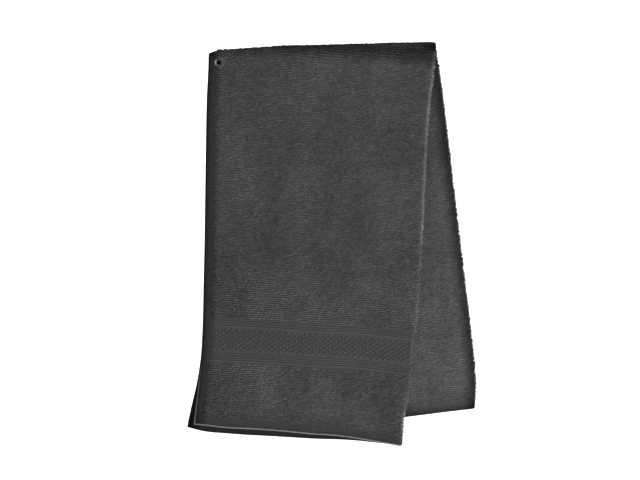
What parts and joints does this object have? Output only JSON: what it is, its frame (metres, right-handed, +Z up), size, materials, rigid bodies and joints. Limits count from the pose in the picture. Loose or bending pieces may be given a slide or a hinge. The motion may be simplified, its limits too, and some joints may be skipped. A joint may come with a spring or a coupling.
{
  "type": "golf towel",
  "caption": "Terry golf towel folded in half along its length and hung over a thin rail, with a woven dobby border, turned hems and a metal eyelet through the fold.",
  "frame": {"origin": "on the axis of the rail that the towel hangs over, at the middle of the towel's width", "axes": "+X along the rail towards the lengthwise fold, +Y away from the front fall, +Z up"},
  "size_m": [0.2718, 0.0258, 0.3749],
  "materials": {
    "terry_pile": "charcoal cotton terry, woven loops",
    "flat_weave_border": "flat dobby weave, raised cords and small diamonds",
    "turned_hem": "flat-woven hem turned twice",
    "hem_thread": "spun polyester sewing thread",
    "eyelet_shell": "bright nickel-plated brass, pressed",
    "eyelet_washer": "bright nickel-plated brass, pressed"
  },
  "bodies": {
    "bend": {"bend_inner_ply": "terry_pile", "bend_inner_side_hem": "turned_hem", "bend_outer_ply": "terry_pile", "bend_outer_side_hem": "turned_hem", "bend_side_fold": "terry_pile", "eyelet": "eyelet_shell", "eyelet_washer": "eyelet_washer"},
    "front_fall": {"front_inner_border": "flat_weave_border", "front_inner_border_ribs": "flat_weave_border", "front_inner_end_hem": "turned_hem", "front_inner_ply": "terry_pile", "front_inner_side_hem": "turned_hem", "front_inner_stitching": "hem_thread", "front_inner_tail": "terry_pile", "front_outer_border": "flat_weave_border", "front_outer_border_ribs": "flat_weave_border", "front_outer_end_hem": "turned_hem", "front_outer_ply": "terry_pile", "front_outer_side_hem": "turned_hem", "front_outer_stitching": "hem_thread", "front_outer_tail": "terry_pile", "front_side_fold": "terry_pile"},
    "back_fall": {"back_inner_end_hem": "turned_hem", "back_inner_ply": "terry_pile", "back_inner_side_hem": "turned_hem", "back_inner_stitching": "hem_thread", "back_outer_end_hem": "turned_hem", "back_outer_ply": "terry_pile", "back_outer_side_hem": "turned_hem", "back_outer_stitching": "hem_thread", "back_side_fold": "terry_pile"}
  },
  "joints": [
    {"name": "front_lift", "type": "hinge", "parent": "bend", "child": "front_fall", "pos_m": [0, -0.00945, -0.014], "axis": [-1, 0, 0], "range_deg": [0, 90]},
    {"name": "back_lift", "type": "hinge", "parent": "bend", "child": "back_fall", "pos_m": [0, 0.00945, -0.014], "axis": [1, 0, 0], "range_deg": [0, 90]}
  ]
}
